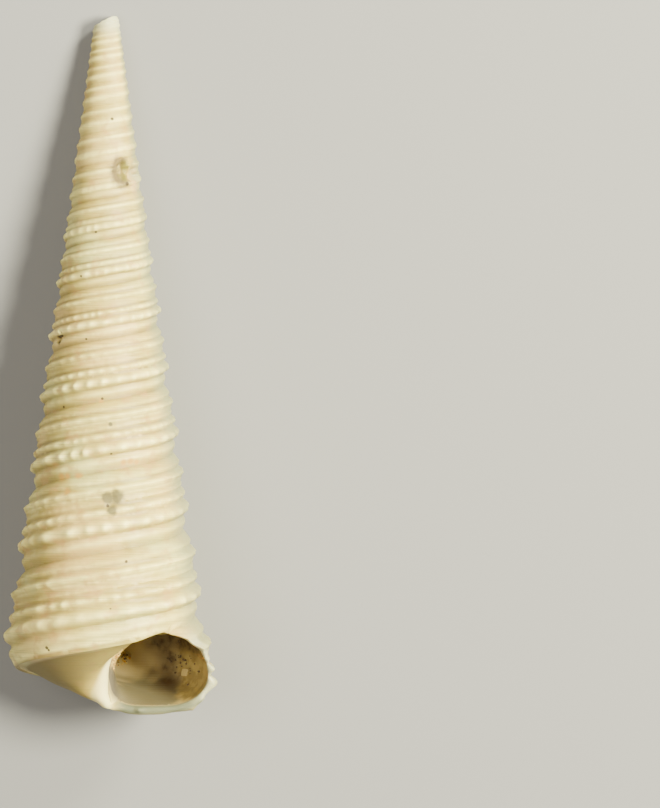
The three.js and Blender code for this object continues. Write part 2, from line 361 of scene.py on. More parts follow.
# Small damage in the wall: a bored pit of two bowls, and a few holes. Half sizes are in mm.
dents = [
    {"turn": 0.836, "down": 14.95, "half": (0.55, 0.88), "depth": 0.52},
    {"turn": 0.925, "down": 15.25, "half": (0.9, 0.92), "depth": 0.52},
    {"turn": 0.581, "down": 25.92, "half": (0.34, 0.24), "depth": 0.42},
    {"turn": 0.600, "down": 25.55, "half": (0.1, 0.34), "depth": 0.2},
    {"turn": 0.285, "down": 20.65, "half": (0.26, 0.26), "depth": 0.4},
    {"turn": 0.128, "down": 24.48, "half": (0.46, 0.38), "depth": 0.4},
    {"turn": 0.108, "down": 24.95, "half": (0.24, 0.14), "depth": 0.18},
    {"turn": 0.764, "down": 36.3, "half": (0.5, 0.6), "depth": 0.09},
]
dentForm = {"floor": 0.2, "rim": 1.05, "ragged": 0.1, "raggedSize": 0.6}
swells = [(0.004, 4.5), (0.0022, 1.3)]  # the wall is never quite round: share of the radius, and size
mouthCorner = {"move": (-0.1, 0.2, 0.0), "reach": 0.4}  # the sharp corner above the mouth is rounded by this


def onSurface(radius, down, turn):
    places = inShell(radius, down, turn)
    uneven = dentForm["ragged"] * lumps(places, dentForm["raggedSize"], 31)
    full = radius
    swollen = 1
    for seed, (share, size) in enumerate(swells, 5):
        swollen = swollen + share * lumps(places, size, seed)
    radius = radius * swollen
    for dent in dents:
        aside = (turn - dent["turn"] + 0.5) % 1 - 0.5
        wide, tall = dent["half"]
        away = np.hypot(aside * 2 * math.pi * full / wide, (down - dent["down"]) / tall) + uneven
        bowl = 1 - smooth(away, dentForm["floor"], dentForm["rim"])
        outside = full > 0.5 * coneRadius(down)
        radius = radius - dent["depth"] * bowl * outside
    places = inShell(radius, down, turn)
    corner = inShell(*wallPlace(np.zeros(1), np.full(1, spiral["suture"])))
    near = np.exp(-np.sum((places - corner) ** 2, axis=1) / mouthCorner["reach"] ** 2)
    return places + near[:, None] * np.array(mouthCorner["move"]) * (1, -1, 1)


# The hollow of the last whorl. Its mouth is a squarish oval, and it shrinks as it winds back.
hollow = {
    "middle": (3.33, 47.34),
    "halfWide": 3.25,
    "halfUp": 2.84,
    "halfDown": 2.36,
    "squareness": [(-1, 2.4), (-0.78, 2.0), (-0.3, 3.0), (0, 2.5), (0.3, 2.4), (0.68, 3.8), (1, 2.4)],
    "turns": 0.86,
    "rows": 90,
    "inner": 0.6,  # nearest the axis, once settled
    "outer": 6.15,
    "settleTurn": 0.15,
    "spread": 9,
    "crust": {"angle": -0.82, "width": 0.17, "share": 0.34, "turns": (0.012, 0.09, 0.12, 0.34)},  # dried mud
    "cornerShare": 0.9,  # how far the hollow's wall is drawn to the mouth's corner
    "cornerReach": 12,
    "cornerRows": 14,
    "lipRows": 12,
    "lipHeight": 0.24,
    "lipSlope": 0.42,
    "lipFade": (14, 12, 2),  # steps along the rim: in after the corner, and out before and after the base
    "tooth": {"at": (2.09, -49.93, 0.0), "size": 0.2, "height": 0.2},  # a small knob on the lower lip
}


def openingPlace(angle):  # the rim of the opening in the mouth's plane, as distance from the axis and down
    c, s = np.cos(angle), np.sin(angle)
    power = curveThrough(hollow["squareness"], angle / math.pi)
    halfTall = np.where(s < 0, hollow["halfUp"], hollow["halfDown"])
    reach = (np.abs(c / hollow["halfWide"]) ** power + np.abs(s / halfTall) ** power) ** (-1 / power)
    return reach * c, reach * s


def hollowSides(turn):  # radius of the hollow's inner and outer wall
    settled = smooth(turn, 0, hollow["settleTurn"])
    middle, halfWide = hollow["middle"][0], hollow["halfWide"]
    inner = blend(middle - halfWide, hollow["inner"], settled)
    outer = blend(middle + halfWide, hollow["outer"] * spiral["growth"] ** -turn, settled)
    return inner, outer


def hollowPlace(angle, turn):
    across, along = openingPlace(angle)
    crust = hollow["crust"]
    aside = ((angle / math.pi - crust["angle"] + 1) % 2 - 1) / crust["width"]
    start, full, end, gone = crust["turns"]
    fill = crust["share"] * np.exp(-aside * aside) * smooth(turn, start, full)
    fill = 1 - fill * (1 - smooth(turn, end, gone))
    across, along = across * fill, along * fill
    inner, outer = hollowSides(turn)
    radius = (inner + outer) / 2 + (outer - inner) / 2 * across / hollow["halfWide"]
    down = (hollow["middle"][1] + along) * spiral["growth"] ** -turn
    return radius, down


def pick(*pieces):  # the first one active
    bpy.ops.object.select_all(action="DESELECT")
    for piece in pieces:
        piece.select_set(True)
    bpy.context.view_layer.objects.active = pieces[0]


def editAll():
    bpy.ops.object.mode_set(mode="EDIT")
    bpy.ops.mesh.select_all(action="SELECT")


def cornersOf(piece):
    corners = np.empty(len(piece.data.vertices) * 3)
    piece.data.vertices.foreach_get("co", corners)
    return corners.reshape(-1, 3)


def addGrid(name, along, across, shape):
    bpy.ops.object.select_all(action="DESELECT")
    bpy.ops.mesh.primitive_grid_add(x_subdivisions=along, y_subdivisions=across, size=1)
    piece = bpy.context.active_object
    piece.name = name
    corners = cornersOf(piece) + 0.5
    u = np.round(corners[:, 0] * along).astype(int)
    v = np.round(corners[:, 1] * across).astype(int)
    piece.data.vertices.foreach_set("co", shape(u, v).ravel())
    piece.data.update()
    return piece


columns = spiral["columns"]
wallRows = spiral["rows"]
baseRows = base["rows"]


def wallShape(u, v):
    turn = u / columns
    at = spiral["suture"] + v / wallRows
    return inRow(onSurface(*wallPlace(turn, at)))


def baseShape(u, v):
    turn = u / columns
    return inRow(leanOver(onSurface(*basePlace(turn, v / baseRows))))


def mouthStations():  # the outer rim of the mouth, once round: outer lip, base, and back along the inner lip
    zero = np.zeros(wallRows, int)
    outerLip = wallShape(zero, np.arange(wallRows))
    zero = np.zeros(baseRows, int)
    lowerLip = baseShape(zero, np.arange(baseRows))
    innerLip = baseShape(zero + columns, np.arange(baseRows, 0, -1))
    return np.concatenate([outerLip, lowerLip, innerLip])


def fromRow(places):  # the way back
    c, s = math.cos(spiral["lieTilt"]), math.sin(spiral["lieTilt"])
    x, y, z = (places / mm - spiral["apex"]).T
    return np.stack([x, y * c - z * s, y * s + z * c], 1)


stations = mouthStations()
stationCount = len(stations)
flat = fromRow(stations)
stationAngle = np.arctan2(-flat[:, 1] - hollow["middle"][1], flat[:, 0] - hollow["middle"][0])
stationAngle = np.maximum.accumulate(np.unwrap(stationAngle))  # never turns back, and evenly spread
threeRounds = np.concatenate([stationAngle - 2 * math.pi, stationAngle, stationAngle + 2 * math.pi])
spread = np.ones(hollow["spread"]) / hollow["spread"]
stationAngle = np.convolve(threeRounds, spread, mode="same")[stationCount:2 * stationCount]
stationAngle = (stationAngle + math.pi) % (2 * math.pi) - math.pi
alongRim = np.arange(stationCount)
fadeIn, fadeBefore, fadeAfter = hollow["lipFade"]
lipEnd = wallRows + baseRows
lipFade = smooth(alongRim, 0, fadeIn) * (1 - smooth(alongRim, lipEnd - fadeBefore, lipEnd + fadeAfter))


def hollowShape(u, v):
    u = u % stationCount
    turn = hollow["turns"] * v / hollow["rows"]
    radius, down = hollowPlace(stationAngle[u], turn)
    places = inRow(windLip(inShell(radius, down, turn)))
    rim = inRow(windLip(inShell(*hollowPlace(stationAngle[u], 0 * turn), 0 * turn)))
    fromCorner = np.minimum(u, stationCount - u)
    share = hollow["cornerShare"] * np.exp(-(fromCorner / hollow["cornerReach"]) ** 2)
    share = share * (1 - smooth(v, 0, hollow["cornerRows"]))
    return places + (stations[u] - rim) * share[:, None]


def lipShape(u, v):
    u = u % stationCount
    outside = stations[u]
    inside = hollowShape(u, 0 * v)
    share = v / hollow["lipRows"]
    across = ((1 - np.cos(math.pi * share)) / 2)[:, None]
    arch = np.sin(math.pi * share)
    forward = np.array([0, math.sin(spiral["lieTilt"]), math.cos(spiral["lieTilt"])])
    width = np.linalg.norm(inside - outside, axis=1)
    height = np.minimum(width * hollow["lipSlope"], hollow["lipHeight"] * mm) * lipFade[u]
    ring = outside + (inside - outside) * across + (height * arch)[:, None] * forward
    tooth = hollow["tooth"]
    fromTooth = np.linalg.norm((fromRow(ring) - np.array(tooth["at"]))[:, :2], axis=1) / tooth["size"]
    knob = tooth["height"] * mm * np.exp(-fromTooth ** 2) * arch
    return ring + knob[:, None] * forward


shell = addGrid("wall", round(spiral["turns"] * columns), wallRows, wallShape)
parts = [
    addGrid("base", columns, baseRows, baseShape),
    addGrid("lip", stationCount, hollow["lipRows"], lipShape),
    addGrid("hollow", stationCount, hollow["rows"], hollowShape),
]
pick(shell, *parts)
bpy.ops.object.join()
shell.name = "fossilShell"
weldDistance = 0.0001 * mm
editAll()
bpy.ops.mesh.remove_doubles(threshold=weldDistance)
bpy.ops.mesh.select_all(action="DESELECT")
onlyHoles = {"use_wire": False, "use_multi_face": False, "use_non_contiguous": False}
bpy.ops.mesh.select_non_manifold(extend=False, **onlyHoles)
bpy.ops.mesh.edge_face_add()
bpy.ops.mesh.select_all(action="SELECT")
bpy.ops.mesh.normals_make_consistent(inside=False)
bpy.ops.object.mode_set(mode="OBJECT")
print("shell wound:", len(shell.data.polygons), "faces")

# The broken tip: a rough slanting face, higher on the right where a small knob stands.
tipBreak = {
    "down": 5.12,  # where the break crosses the axis
    "slant": 0.55,  # how much further up it lies per mm to the right
    "shoulder": 0.42,  # right of here it runs level, and then falls away at the side
    "fall": 0.34,
    "fallFrom": 0.62,
    "fallTo": 0.86,
    "roundness": 0.08,  # of the shoulder
    "rough": 0.022,
    "roughSizes": (0.35, 0.12),
    "fineShare": 0.4,
    "size": 3.0,
    "steps": 70,
    "height": 6,
}


def breakShape(u, v):  # the lower face of what is missing
    s = tipBreak
    x = (u / s["steps"] - 0.5) * s["size"]
    z = (v / s["steps"] - 0.5) * s["size"]
    places = np.stack([x, 0 * x, z], 1)
    coarse, fine = s["roughSizes"]
    uneven = s["rough"] * (lumps(places, coarse, 11) + s["fineShare"] * lumps(places, fine, 12))
    past = s["roundness"] * np.logaddexp(0, (s["shoulder"] - x) / s["roundness"])
    slope = s["slant"] * (s["shoulder"] - past)
    down = s["down"] - slope + s["fall"] * smooth(x, s["fallFrom"], s["fallTo"]) - uneven
    return inRow(np.stack([x, -down, z], 1))


def runModifier(piece, kind, **values):
    pick(piece)
    modifier = piece.modifiers.new(kind.title(), kind)
    for key, value in values.items():
        setattr(modifier, key, value)
    bpy.ops.object.modifier_apply(modifier=modifier.name)


missing = addGrid("missingTip", tipBreak["steps"], tipBreak["steps"], breakShape)
editAll()
bpy.ops.mesh.extrude_region_move(TRANSFORM_OT_translate={"value": (0, tipBreak["height"] * mm, 0)})
bpy.ops.mesh.select_all(action="SELECT")
bpy.ops.mesh.normals_make_consistent(inside=False)
bpy.ops.object.mode_set(mode="OBJECT")
runModifier(shell, "BOOLEAN", object=missing, operation="DIFFERENCE", solver="MANIFOLD")
bpy.data.objects.remove(missing)
print("tip broken:", len(shell.data.polygons), "faces")

triangleLimit = 194000
triangles = sum(len(face.vertices) - 2 for face in shell.data.polygons)
runModifier(shell, "TRIANGULATE")
runModifier(shell, "DECIMATE", ratio=min(1, triangleLimit / triangles))
editAll()
bpy.ops.mesh.remove_doubles(threshold=weldDistance)
bpy.ops.object.mode_set(mode="OBJECT")
print("shell thinned:", len(shell.data.polygons), "faces")

# Where each point lies on the shell, kept as attributes that the material reads.
tone = {
    # place, width and strength of the groove lines, whose ochre is partly painted shade
    "grooves": [(0.3, 0.025, 0.9), (0.465, 0.02, 1.0), (0.60, 0.012, 0.35), (0.755, 0.026, 1.0),
                (0.895, 0.02, 1.0), (1.085, 0.02, 0.9), (1.265, 0.02, 0.6), (1.3, 0.022, 0.9)],
    "edgeGrooves": 1.2,  # past this, only where the next whorl covers them
    "lowGrooves": 0.5,
    "beadContrast": 1.1,
    "beadPeak": 1.3,
    "tallCord": 0.04,
    # painted highlight: a bright line along the last whorl's free edge, where and how wide
    "paintedEdgeHighlight": (1.27, 0.04),
    "crestWearAndHighlight": 1.25,  # cords are whiter than what lies between them
    "paintedEdgeShadowWidth": 0.05,
    "baseReach": 1.02,
    "pillarLeft": 0.2,
    "pillarBelow": 45,
    "frontTurn": 0.87,  # past this, the turn is counted from the mouth
    "hollowEnd": 0.868,
    "axisReach": (1.0, 2.1),  # near the axis the turn says little, so the place decides
    "uneven": (0.2, 1.2),
    "brown": (3.9, 0.85),
    "crustPlace": (0.75, -46.45, -0.5),
    "crustUneven": (0.12, 0.4),
}
# What each tone follows: none at the first value, all at the second.
fades = {
    "inside": [("fromHollow", 1.06, 1.02), ("behindLip", -0.004, 0.012)],
    "nearAxis": [("front", 0.04, -0.02), ("right", 0.04, 0.1)],
    "covered": [("turn", 0.9, 1.05)],
    "paintedEdgeHighlight": [("turn", 1.0, 0.8)],
    "groove": [("down", 10, 22)],
    "lowGroove": [("down", 30, 42)],
    "base": [("fromEdge", -0.06, 0.1)],
    "stained": [("unevenRight", 4.3, 4.9)],
    "brown": [("down", 49.4, 48.2)],
    "brownTop": [("unevenDown", 47.2, 45.8), ("unevenRight", 1.9, 3.1)],
    "lowInside": [("unevenDown", 47.3, 48.5)],
    "innerEdge": [("right", 1.0, 0.5), ("front", -1.6, -0.6)],
    "crust": [("fromCrust", 1.15, 0.6)],
    "seam": [("round", 0.3, 0.5), ("round", 0.96, 0.9)],
    "pillar": [("fromPillar", 1.15, 0.4)],
    "rim": [("fromHollow", 1.3, 1.1), ("behindLip", 0.02, 0.0), ("right", 0.2, 1.2), ("angle", -1.2, -0.7)],
    # painted shade: the lower lip darker greenish grey
    "rimLow": [("down", 48.6, 49.7)],
    "shade": [("radius", 0.6, 2.8), ("right", 2.8, -4.0)],
    # painted shade: darker greenish grey towards the wall's right edge
    "patina": [("rightward", 0.72, 1.0), ("front", -5.0, -0.5)],
}


def keepAttribute(piece, name, values):
    attribute = piece.data.attributes.new(name, "FLOAT", "POINT")
    attribute.data.foreach_set("value", values.astype(np.float32))


def faded(name):
    share = 1
    for follows, none, full in fades[name]:
        share = share * smooth(here[follows], none, full)
    return share


def unevenBy(kind, seed):
    share, size = tone[kind]
    return share * lumps(places, size, seed)


places = fromRow(cornersOf(shell))
right, up, front = places.T
radius = np.hypot(right, front)
down = np.maximum(-up, 1)
bearing = (np.arctan2(-front, right) / (2 * math.pi)) % 1
whorl = 1 + whorlsAt(down)
at = spiral["suture"] + (whorl + bearing - spiral["suture"]) % 1
turn = at - whorl

hollowTurn = np.where(bearing > tone["frontTurn"], bearing - 1, bearing)
inner, outer = hollowSides(hollowTurn)
sideways = (radius - (inner + outer) / 2) / (outer - inner) * 2 * hollow["halfWide"]
lengthways = down / spiral["growth"] ** -hollowTurn - hollow["middle"][1]
angle = np.arctan2(lengthways, sideways)
edgeRadius, edgeDown, _ = wallPlace(bearing, np.full_like(bearing, spiral["suture"] + 1))
uneven = unevenBy("uneven", 33)
here = {
    "right": right,
    "front": front,
    "down": down,
    "radius": radius,
    "round": bearing,
    "turn": turn,
    "angle": angle,
    "rightward": right / radius,
    "unevenRight": right + uneven,
    "unevenDown": down + uneven,
    "fromHollow": np.hypot(sideways, lengthways) / np.hypot(*openingPlace(angle)),
    "behindLip": hollowTurn + slantStep(hollowTurn, down, radius),
    "fromEdge": down - edgeDown,
    "fromPillar": np.hypot(right + tone["pillarLeft"], front),
    "fromCrust": np.linalg.norm(places - np.array(tone["crustPlace"]), axis=1) + unevenBy("crustUneven", 35),
}
wide, tall = tone["axisReach"]
nearAxis = (radius < wide) * (np.abs(lengthways) < tall) * faded("nearAxis")
inside = np.maximum(faded("inside") * (hollowTurn < tone["hollowEnd"]), nearAxis)
underside = faded("base") * (radius < edgeRadius * tone["baseReach"]) * (1 - inside)
onWall = (1 - underside) * (1 - inside)

# Whiter cords and beads: partly wear, partly painted highlight.
crest = np.zeros_like(at)
for seed, cord in enumerate(cords.values()):
    away = at - cord["at"]
    width = np.where(away < 0, cord["above"], cord["below"]) * curveThrough(worn, down)
    form = np.exp(-np.abs(away / width) ** cord["shape"])
    beadTone = min(1, cord["beadShare"] * tone["beadContrast"]) * beadFade(down)
    bead = 1 - beadTone + beadTone * tone["beadPeak"] * beadWave(turn, cord["beads"], seed * 7)
    crest += form * bead * min(1, cord["rise"] / tone["tallCord"]) * curveThrough(cord["strength"], down)
# Painted highlight: a bright line along the free edge, added to the crests.
middle, width = tone["paintedEdgeHighlight"]
crest += np.exp(-((at - middle) / width) ** 2) * faded("paintedEdgeHighlight")
# Grooves darker ochre: partly their own colour, partly painted shade in the recesses.
groove = np.zeros_like(at)
for middle, width, strength in tone["grooves"]:
    covered = 1 if middle < tone["edgeGrooves"] else faded("covered")
    groove += strength * np.exp(-((at - middle) / width) ** 2) * covered * (turn > -0.5)
# Brown inside the hollow: a stain, and also painted shadow as a dark band down its middle and over its top.
middle, width = tone["brown"]
brownBand = np.exp(-((right + uneven - middle) / width) ** 2) * faded("brown")
# Painted shadow: a dark line on the base just under the last whorl's free edge.
seam = np.exp(-((1 - radius / edgeRadius) / tone["paintedEdgeShadowWidth"]) ** 2) * underside
rim = faded("rim") * (1 - inside)
kept = {
    "crest": np.clip(crest, 0, tone["crestWearAndHighlight"]) * onWall,
    "groove": groove * onWall * faded("groove") * (1 - tone["lowGrooves"] * faded("lowGroove")),
    "inside": inside,
    "stained": faded("stained") * inside,
    "brown": np.maximum(brownBand, faded("brownTop")) * inside,
    # painted shade: darker towards the bottom of the hollow
    "lowInside": faded("lowInside") * inside,
    "innerEdge": faded("innerEdge") * inside,
    "crust": faded("crust") * inside,
    "seam": seam * faded("seam"),
    "underside": underside,
    "rim": rim,
    "rimLow": rim * faded("rimLow"),
    # white columella: partly its own colour, partly a painted highlight
    "pillar": faded("pillar") * (down > tone["pillarBelow"]) * (1 - inside),
    "shade": underside * faded("shade"),
    "patina": onWall * faded("patina"),
    "down": down,
    "whorlTurn": turn,
    "whorlPlace": whorl,
}
for name, values in kept.items():
    keepAttribute(shell, name, values)

pick(shell)
bpy.ops.object.shade_smooth_by_angle(angle=math.radians(50))

# Material of the shell: waxy ivory, whiter where it is worn and partly painted highlight on the cords, and
# ochre in the grooves, partly painted shade.
finish = {
    "ivory": (0.45, 0.345, 0.068),
    "straw": (0.33, 0.235, 0.045),
    # pale wear, on cords and beads partly a painted highlight
    "worn": (0.92, 0.82, 0.28),
    "ochre": (0.16, 0.115, 0.026),
    "pink": (0.44, 0.24, 0.07),
    "olive": (0.25, 0.235, 0.045),
    "orange": (0.50, 0.27, 0.035),
    "greyDirt": (0.10, 0.088, 0.034),
    "pitTan": (0.12, 0.085, 0.03),
    "pitOlive": (0.22, 0.20, 0.02),
    "pitPeach": (0.62, 0.36, 0.14),
    "darkDirt": (0.03, 0.018, 0.008),
    "brokenTip": (0.50, 0.50, 0.29),
    "baseShade": (0.14, 0.105, 0.032),
    # painted shadow under the free edge of the last whorl
    "seam": (0.08, 0.055, 0.015),
    "greenish": (0.66, 0.70, 0.27),
    "peach": (0.74, 0.49, 0.17),
    # white columella, partly a painted highlight
    "pillar": (0.90, 0.80, 0.34),
    "rim": (0.50, 0.50, 0.30),
    # painted shade on the lower lip
    "rimLow": (0.085, 0.10, 0.055),
    "innerHigh": (0.56, 0.43, 0.18),
    # painted shade low in the hollow
    "innerLow": (0.115, 0.095, 0.042),
    "innerOchre": (0.40, 0.29, 0.085),
    "innerEdge": (0.065, 0.052, 0.028),
    # brown stain, also painted shadow in the hollow's middle and top
    "innerBrown": (0.056, 0.026, 0.004),
    # painted shade on the right edge of the wall
    "patina": (0.22, 0.23, 0.12),
    "crustLight": (0.60, 0.40, 0.08),
    "crustDark": (0.26, 0.15, 0.03),
}


def newMaterial(piece, name, inputs):  # the functions below build in the one made last
    global nodeTree
    material = bpy.data.materials.new(name)
    material.use_nodes = True
    nodeTree = material.node_tree
    shader = nodeTree.nodes["Principled BSDF"]
    for key, value in inputs.items():
        shader.inputs[key].default_value = value
    piece.data.materials.clear()
    piece.data.materials.append(material)
    return shader


def addNode(kind, settings=None, **sockets):  # sockets by name, or by number as n0, n1
    node = nodeTree.nodes.new("ShaderNode" + kind)
    for key, value in (settings or {}).items():
        setattr(node, key, value)
    for key, value in sockets.items():
        socket = node.inputs[int(key[1:])] if key[0] == "n" and key[1:].isdigit() else node.inputs[key]
        if isinstance(value, bpy.types.NodeSocket):
            nodeTree.links.new(value, socket)
        elif isinstance(value, tuple) and len(value) == 3 and len(socket.default_value) == 4:
            socket.default_value = (*value, 1)
        else:
            socket.default_value = value
    return node


def attribute(name):
    return addNode("Attribute", {"attribute_name": name}).outputs["Fac"]


def maths(operation, *values):
    sockets = {f"n{i}": value for i, value in enumerate(values)}
    return addNode("Math", {"operation": operation}, **sockets).outputs[0]


def times(*values):
    return maths("MULTIPLY", *values)


def ramp(value, low, high):  # 0 below low, 1 above high
    sockets = {"Value": value, "From Min": low, "From Max": high}
    return addNode("MapRange", {"interpolation_type": "SMOOTHSTEP"}, **sockets).outputs[0]


def mixColours(share, first, second):
    node = nodeTree.nodes.new("ShaderNodeMix")
    node.data_type = "RGBA"
    for socket, value in ((node.inputs[0], share), (node.inputs[6], first), (node.inputs[7], second)):
        if isinstance(value, bpy.types.NodeSocket):
            nodeTree.links.new(value, socket)
        else:
            socket.default_value = (*value, 1) if isinstance(value, tuple) else value
    return node.outputs[2]


def noise(vector, scale, detail=3.0, roughness=0.55):
    sockets = {"Vector": vector, "Scale": scale, "Detail": detail, "Roughness": roughness}
    return addNode("TexNoise", **sockets).outputs["Fac"]


# Stains and specks on the wall: "fade" is where they end and are full, in radii, and how strong they are.
# Spots are turn, down and radius in mm.
marks = {
    "orange": {"fade": (1.6, 0.3, 0.85), "spots": [
        (0.793, 33.8, 0.22), (0.81, 33.75, 0.26), (0.826, 33.8, 0.2), (0.645, 34.75, 0.26),
        (0.66, 34.7, 0.2), (0.69, 34.7, 0.24), (0.669, 35.73, 0.24), (0.343, 33.64, 0.34),
        (0.363, 38.51, 0.32), (0.346, 40.91, 0.36), (0.291, 40.06, 0.3), (0.128, 24.48, 0.42),
        (0.74, 29.9, 0.16)]},
    "greyDirt": {"fade": (1.4, 0.6, 0.9), "spots": [
        (0.776, 36.0, 0.46), (0.758, 36.1, 0.42), (0.766, 36.85, 0.36), (0.178, 28.12, 0.36),
        (0.764, 31.38, 0.14), (0.12, 24.2, 0.2)]},
    "pitTan": {"fade": (1.4, 0.6, 0.95), "spots": [
        (0.825, 14.95, 0.72), (0.832, 15.4, 0.7), (0.83, 14.55, 0.55)]},
    "pitOlive": {"fade": (1.5, 0.4, 0.8), "spots": [(0.858, 14.85, 0.5), (0.858, 15.2, 0.48)]},
    "pitPeach": {"fade": (1.6, 0.3, 0.6), "spots": [(0.915, 15.6, 0.6), (0.925, 15.2, 0.5)]},
    "darkDirt": {"fade": (1.1, 0.6, 0.9), "spots": [
        (0.788, 11.62, 0.12), (0.854, 15.83, 0.17), (0.757, 36.59, 0.13), (0.581, 25.92, 0.34),
        (0.594, 25.65, 0.12), (0.603, 25.45, 0.1), (0.666, 21.81, 0.1), (0.711, 18.94, 0.11),
        (0.691, 25.87, 0.1), (0.743, 29.72, 0.1), (0.63, 30.26, 0.11), (0.765, 33.27, 0.1),
        (0.791, 40.18, 0.13), (0.761, 43.18, 0.1), (0.645, 45.74, 0.13), (0.648, 45.9, 0.1),
        (0.285, 20.65, 0.22), (0.219, 29.55, 0.12), (0.116, 24.7, 0.16)]},
}
ragged = {"scale": 2200, "swing": 0.9}


def atFor(turn, down):
    return spiral["suture"] + (1 + whorlsAt(np.array([down])) + turn - spiral["suture"]) % 1


def spotShare(place, spots, outside, inside, strength):
    nearest = None
    for turn, down, size in spots:
        radius = coneRadius(np.array([down])) * (1 + wallRelief(np.array([turn]), atFor(turn, down), down))
        centre = inRow(inShell(radius, np.array([down]), np.array([turn])))[0]
        away = addNode("VectorMath", {"operation": "DISTANCE"}, n0=place, n1=tuple(centre))
        away = maths("DIVIDE", away.outputs["Value"], size * mm)
        nearest = away if nearest is None else maths("MINIMUM", nearest, away)
    uneven = times(noise(place, ragged["scale"]), ragged["swing"])
    middle = ragged["swing"] / 2
    share = ramp(maths("ADD", nearest, uneven), outside + middle, inside + middle)
    return times(share, strength)


def stretched(vector, scales):
    return addNode("VectorMath", {"operation": "MULTIPLY"}, n0=vector, n1=scales).outputs[0]


# Noise in the finish: its space, scale and detail, and from where to where it fades in.
patterns = {
    "clouds": ("place", 330, 3, (0.38, 0.66)),
    "streaks": ("streaks", 1.0, 4, (0.42, 0.66)),
    "hairs": ("hairs", 1.0, 2, (0.45, 0.7)),
    "greens": ("place", 210, 2, (0.5, 0.66)),
    "peaches": ("place", 210, 2, (0.5, 0.34)),
    "mottle": ("place", 1500, 4, (0.5, 0.72)),
    "patchy": ("place", 620, 4, (0.3, 0.6)),
    "blotch": ("place", 900, 3, (0.52, 0.7)),
    "mould": ("streaks", 2.0, 3, (0.54, 0.7)),
    "patches": ("place", 1300, 4, (0.44, 0.62)),
    "crumbs": ("place", 5200, 3, (0.4, 0.6)),
}
softened = {  # never drops to nothing: pattern, how much of it, and what is there anyway
    "cloudyGroove": ("clouds", 0.35, 0.6),
    "patchyCrest": ("patchy", 0.4, 0.5),
    "patchyBrown": ("patches", 0.2, 0.78),
}
# Each finish lies over those before it: its name, how strong it is, and what it follows.
outerLayers = [
    ("straw", 0.7, "clouds"),
    ("straw", 0.45, "streaks", "onWall"),
    ("worn", 0.3, "hairs", "onWall"),
    ("greenish", 0.42, "greens", "onWall"),
    ("peach", 0.42, "peaches", "onWall"),
    ("straw", 0.4, "mottle", "onWall"),
    ("ochre", 1.0, "groove", "cloudyGroove"),
    ("worn", 1.0, "crest", "patchyCrest"),
    ("pink", 0.5, "blotch"),
    ("olive", 0.5, "mould"),
    ("patina", 0.85, "patina"),
    ("pillar", 1.0, "pillar"),
    ("rim", 0.7, "rim"),
    ("rimLow", 0.95, "rimLow"),
    ("seam", 0.85, "seam"),
    ("baseShade", 0.9, "shade"),
    ("brokenTip", 1.0, "nearTip"),
]
innerLayers = [
    ("innerLow", 1.0, "lowInside"),
    ("innerOchre", 1.0, "stained"),
    ("innerEdge", 1.0, "innerEdge"),
    ("innerBrown", 1.0, "brown", "patchyBrown"),
    ("innerBrown", 0.35, "patches", "stained"),
]
gloss = {
    "streaks": (2.2, 34, 1),  # stretch of the noise along and across a whorl
    "hairs": (5, 130, 1),
    "tip": (6.6, 5.2),
    "crust": 0.9,
    "grain": (2600, 4),
    "roughness": 0.34,
    "grainRoughness": 0.24,
    "dirtRoughness": 0.9,
    "mattRoughness": 0.7,
    "bump": 0.35,
    "bumpGrain": 0.5,
    "bumpDepth": 0.00006,
}
waxy = {
    "Subsurface Weight": 0.3,
    "Subsurface Radius": (1.0, 0.7, 0.4),
    "Subsurface Scale": 0.0005,
    "IOR": 1.5,
    "Specular IOR Level": 0.7,
    "Specular Tint": (1.0, 0.93, 0.74, 1),
}
shader = newMaterial(shell, "fossilShell", waxy)
place = addNode("TexCoord").outputs["Object"]
shares = {name: attribute(name) for name in kept}
sockets = {"X": shares["whorlTurn"], "Y": shares["whorlPlace"]}
winding = addNode("CombineXYZ", **sockets).outputs[0]
spaces = {
    "place": place,
    "streaks": stretched(winding, gloss["streaks"]),
    "hairs": stretched(winding, gloss["hairs"]),
}
for name, (space, scale, detail, fade) in patterns.items():
    shares[name] = ramp(noise(spaces[space], scale, detail), *fade)
for name, (pattern, swing, least) in softened.items():
    shares[name] = maths("ADD", times(shares[pattern], swing), least)
offWall = maths("MAXIMUM", shares["inside"], shares["underside"])
shares["onWall"] = maths("SUBTRACT", 1.0, offWall)
shares["nearTip"] = ramp(shares["down"], *gloss["tip"])


def layOver(colour, layers):
    for name, strength, *followed in layers:
        share = strength
        for each in followed:
            share = times(share, shares[each])
        colour = mixColours(share, colour, finish[name])
    return colour


colour = layOver(finish["ivory"], outerLayers)
dirt = 0.0
for kind, mark in marks.items():
    share = spotShare(place, mark["spots"], *mark["fade"])
    colour = mixColours(share, colour, finish[kind])
    dirt = maths("MAXIMUM", dirt, share)
inner = layOver(finish["innerHigh"], innerLayers)
crustTone = mixColours(shares["crumbs"], finish["crustLight"], finish["crustDark"])
inner = mixColours(times(shares["crust"], gloss["crust"]), inner, crustTone)
colour = mixColours(shares["inside"], colour, inner)
nodeTree.links.new(colour, shader.inputs["Base Color"])

grain = noise(place, *gloss["grain"])
roughness = maths("ADD", times(grain, gloss["grainRoughness"]), gloss["roughness"])
matt = maths("MAXIMUM", times(dirt, gloss["dirtRoughness"]), times(offWall, gloss["mattRoughness"]))
roughness = maths("MAXIMUM", roughness, matt)
nodeTree.links.new(roughness, shader.inputs["Roughness"])
height = maths("ADD", times(grain, gloss["bumpGrain"]), noise(spaces["hairs"], 1.0, 2))
sockets = {"Height": height, "Strength": gloss["bump"], "Distance": gloss["bumpDepth"]}
bump = addNode("Bump", **sockets).outputs[0]
nodeTree.links.new(bump, shader.inputs["Normal"])
print("shell finished")

